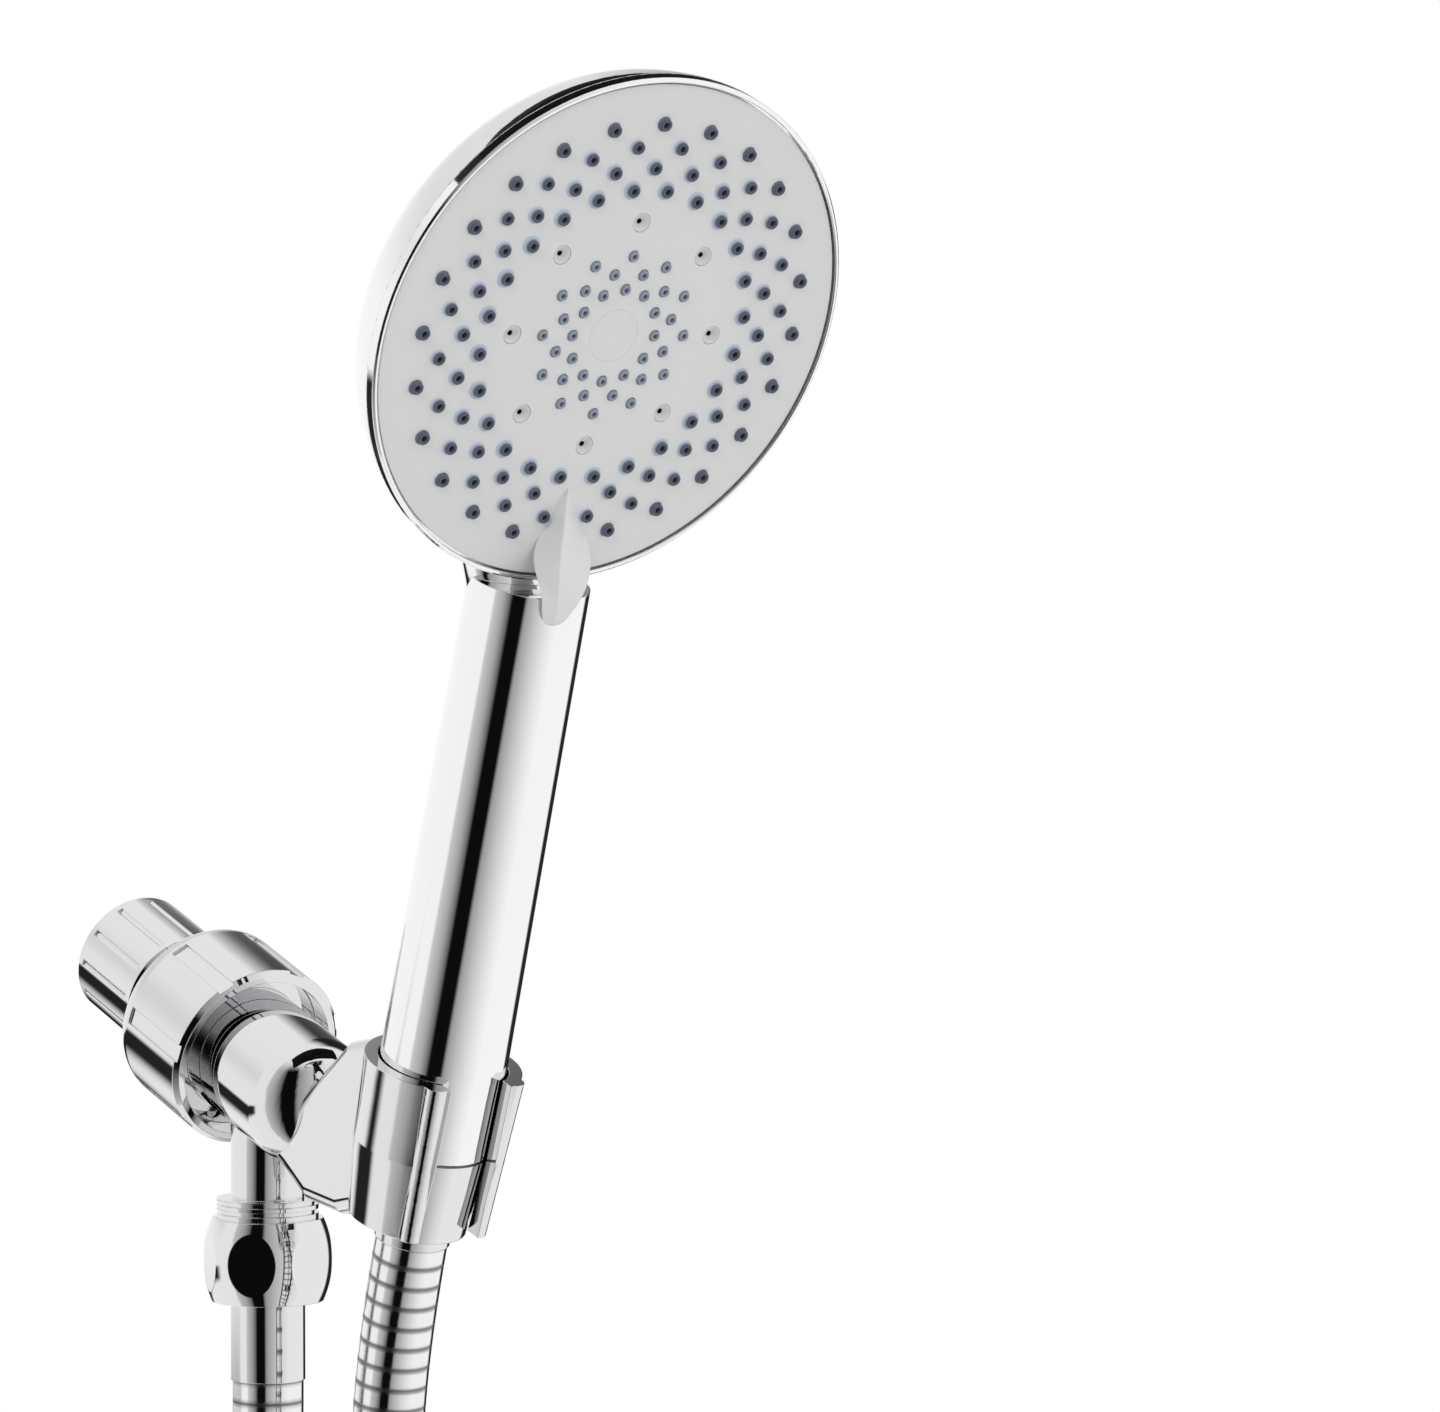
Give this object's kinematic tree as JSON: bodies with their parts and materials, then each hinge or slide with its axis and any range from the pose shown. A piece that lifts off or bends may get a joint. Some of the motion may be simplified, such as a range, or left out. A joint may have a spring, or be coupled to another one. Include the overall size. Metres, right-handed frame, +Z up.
{
  "type": "handheld shower head",
  "caption": "Chrome handheld shower head with a round white spray face, in a ball-joint shower-arm bracket with a coiled metal hose.",
  "frame": {"origin": "centre of the mouth of the arm nut thread, where the shower arm screws in", "axes": "+Z up, the spray face looks towards -Y and the wall is on the +Y side, X=0 is the plane of the handle and the inlet"},
  "size_m": [0.1034, 0.203, 0.5048],
  "materials": {
    "chrome_shell": "mirror chrome plate on plastic",
    "chrome_bracket": "mirror chrome plate on plastic",
    "chrome_metal": "mirror chrome plate on brass",
    "steel_hose": "bright stainless steel strip, ridged",
    "face_white": "satin white",
    "nozzle_silicone": "soft blue-grey silicone",
    "mist_grey": "satin pale grey",
    "rubber_black": "matt black",
    "brass_stem": "turned brass",
    "inner_plastic": "natural moulded plastic",
    "spring_steel": "stainless steel",
    "tie_grey": "soft grey strap"
  },
  "bodies": {
    "arm": {"arm_nut": "chrome_bracket", "arm_washer": "rubber_black", "filter_screen": "spring_steel"},
    "stem": {"ball_stem": "brass_stem"},
    "cup": {"ball_cup": "inner_plastic"},
    "bracket": {"bracket_body": "chrome_bracket", "ball_seat": "inner_plastic", "ball_seal_ring": "rubber_black", "outlet_ferrule": "chrome_metal", "hose_washer": "rubber_black", "hose_outlet_run": "steel_hose", "hose_coil": "steel_hose", "coil_tie": "tie_grey", "hose_handset_run": "steel_hose"},
    "collar": {"ball_collar": "chrome_bracket"},
    "hose_nut": {"hose_nut": "chrome_metal"},
    "hose_end": {"handset_ferrule": "chrome_metal", "cone_washer": "rubber_black"},
    "cone_nut": {"cone_nut": "chrome_metal"},
    "selector": {"face_plate": "face_white", "nozzle_mat": "nozzle_silicone", "centre_cap": "face_white", "selector_disc": "inner_plastic", "mode_lever": "face_white", "mist_insert_1": "mist_grey", "mist_insert_2": "mist_grey", "mist_insert_3": "mist_grey", "mist_insert_4": "mist_grey", "mist_insert_5": "mist_grey", "mist_insert_6": "mist_grey", "mist_insert_7": "mist_grey", "mist_insert_8": "mist_grey"},
    "handset": {"centre_screw": "spring_steel", "detent_ball": "spring_steel", "flow_restrictor": "inner_plastic", "handset_shell": "chrome_shell", "port_seal_1": "rubber_black", "port_seal_2": "rubber_black", "port_seal_3": "rubber_black", "screw_washer": "spring_steel", "seal_spring_1": "spring_steel", "seal_spring_2": "spring_steel", "seal_spring_3": "spring_steel", "trim_rim": "chrome_shell", "valve_body": "inner_plastic", "water_tube": "inner_plastic"}
  },
  "joints": [
    {"name": "stem_turn", "type": "hinge", "parent": "arm", "child": "stem", "pos_m": [0, 0, 0], "axis": [0, -0.9397, -0.342], "continuous": true},
    {"name": "ball_pitch", "type": "hinge", "parent": "stem", "child": "cup", "pos_m": [0, -0.03195, -0.01163], "axis": [1, 0, 0], "range_deg": [-12, 12]},
    {"name": "ball_yaw", "type": "hinge", "parent": "cup", "child": "bracket", "pos_m": [0, -0.03195, -0.01163], "axis": [0, -0.342, 0.9397], "range_deg": [-8, 8]},
    {"name": "collar_turn", "type": "hinge", "parent": "bracket", "child": "collar", "pos_m": [0, -0.03195, -0.01163], "axis": [0, -0.9397, -0.342], "range_deg": [0, 90]},
    {"name": "hose_nut_turn", "type": "hinge", "parent": "bracket", "child": "hose_nut", "pos_m": [0, -0.052, -0.058], "axis": [0, 0, 1], "continuous": true},
    {"name": "handset_lift", "type": "slide", "parent": "bracket", "child": "hose_end", "axis": [0, -0.3007, 0.9537], "range_m": [0, 0.045]},
    {"name": "handset_turn", "type": "hinge", "parent": "hose_end", "child": "handset", "pos_m": [0, -0.1165, -0.0125], "axis": [0, -0.3007, 0.9537], "continuous": true},
    {"name": "cone_nut_turn", "type": "hinge", "parent": "handset", "child": "cone_nut", "pos_m": [0, -0.1165, -0.0125], "axis": [0, -0.3007, 0.9537], "continuous": true},
    {"name": "selector_turn", "type": "hinge", "parent": "handset", "child": "selector", "pos_m": [0, -0.17535, 0.12926], "axis": [0, -0.9121, -0.4099], "range_deg": [-22, 22]}
  ]
}
